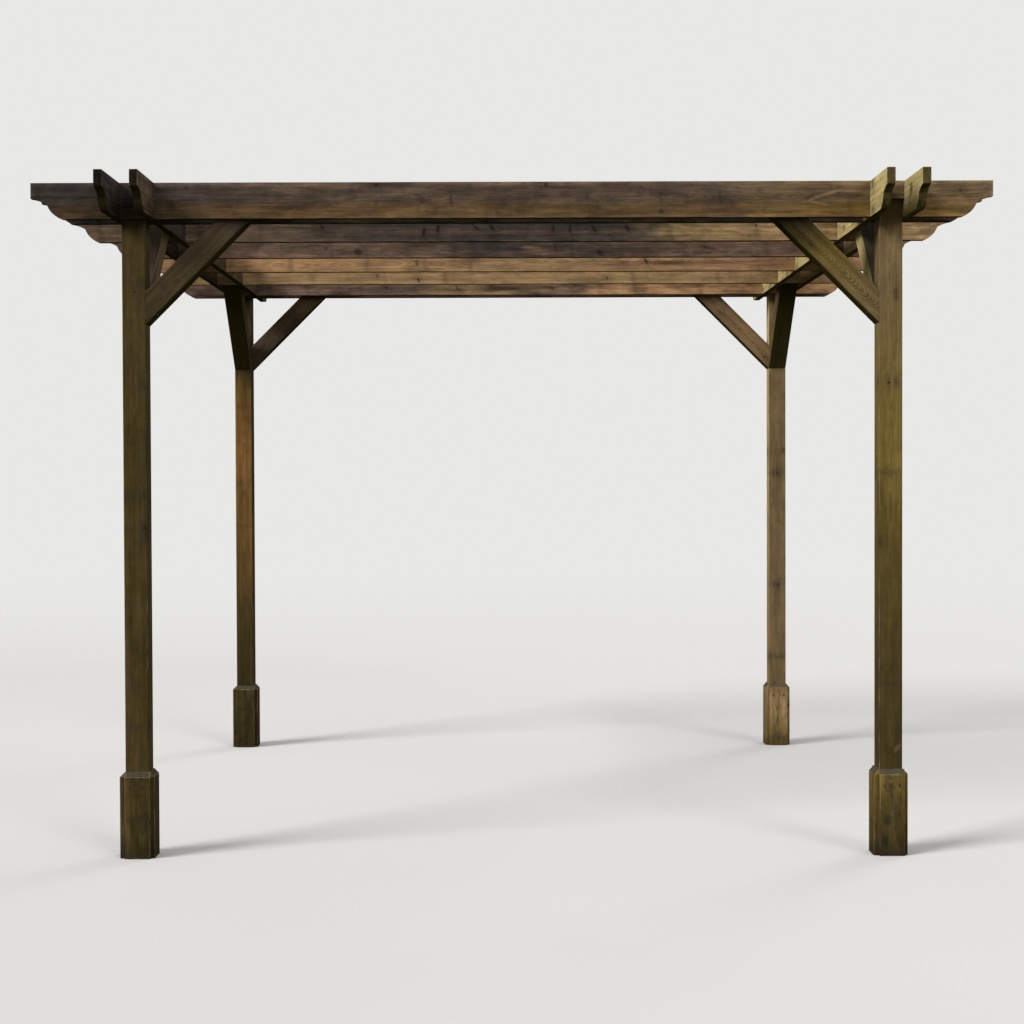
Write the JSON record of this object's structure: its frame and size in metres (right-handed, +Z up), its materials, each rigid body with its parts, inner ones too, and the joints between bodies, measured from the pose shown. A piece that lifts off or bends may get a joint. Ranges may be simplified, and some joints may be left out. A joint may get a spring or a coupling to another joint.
{
  "type": "wooden pergola",
  "caption": "Open square garden pergola: cased posts, double notched beams with shaped ends, knee braces and level halved rafters.",
  "frame": {"origin": "on the ground in the middle of the pergola's plan", "axes": "+X to the right and +Y to the back as seen from the front, +Z up"},
  "size_m": [3.88, 3.85, 2.72],
  "materials": {
    "post_wood": "dark brown stained planed softwood, satin",
    "foot_board_wood": "dark brown stained planed softwood, satin",
    "beam_wood": "dark brown stained planed softwood, satin",
    "rafter_wood": "dark brown stained planed softwood, satin",
    "brace_wood": "dark brown stained planed softwood, satin",
    "screw_steel": "zinc-plated screw heads, stained over and dulled"
  },
  "bodies": {
    "root": {"post_front_left": "post_wood", "post_front_right": "post_wood", "post_back_left": "post_wood", "post_back_right": "post_wood", "foot_front_left_front": "foot_board_wood", "foot_front_left_right": "foot_board_wood", "foot_front_left_back": "foot_board_wood", "foot_front_left_left": "foot_board_wood", "foot_front_right_front": "foot_board_wood", "foot_front_right_right": "foot_board_wood", "foot_front_right_back": "foot_board_wood", "foot_front_right_left": "foot_board_wood", "foot_back_left_front": "foot_board_wood", "foot_back_left_right": "foot_board_wood", "foot_back_left_back": "foot_board_wood", "foot_back_left_left": "foot_board_wood", "foot_back_right_front": "foot_board_wood", "foot_back_right_right": "foot_board_wood", "foot_back_right_back": "foot_board_wood", "foot_back_right_left": "foot_board_wood", "side_beam_left_outer": "beam_wood", "side_beam_left_inner": "beam_wood", "side_beam_right_inner": "beam_wood", "side_beam_right_outer": "beam_wood", "front_beam_outer": "beam_wood", "front_beam_inner": "beam_wood", "back_beam_inner": "beam_wood", "back_beam_outer": "beam_wood", "rafter_1": "rafter_wood", "rafter_2": "rafter_wood", "rafter_3": "rafter_wood", "rafter_4": "rafter_wood", "cross_brace_front_left": "brace_wood", "side_brace_front_left": "brace_wood", "cross_brace_front_right": "brace_wood", "side_brace_front_right": "brace_wood", "cross_brace_back_left": "brace_wood", "side_brace_back_left": "brace_wood", "cross_brace_back_right": "brace_wood", "side_brace_back_right": "brace_wood"}
  },
  "joints": []
}
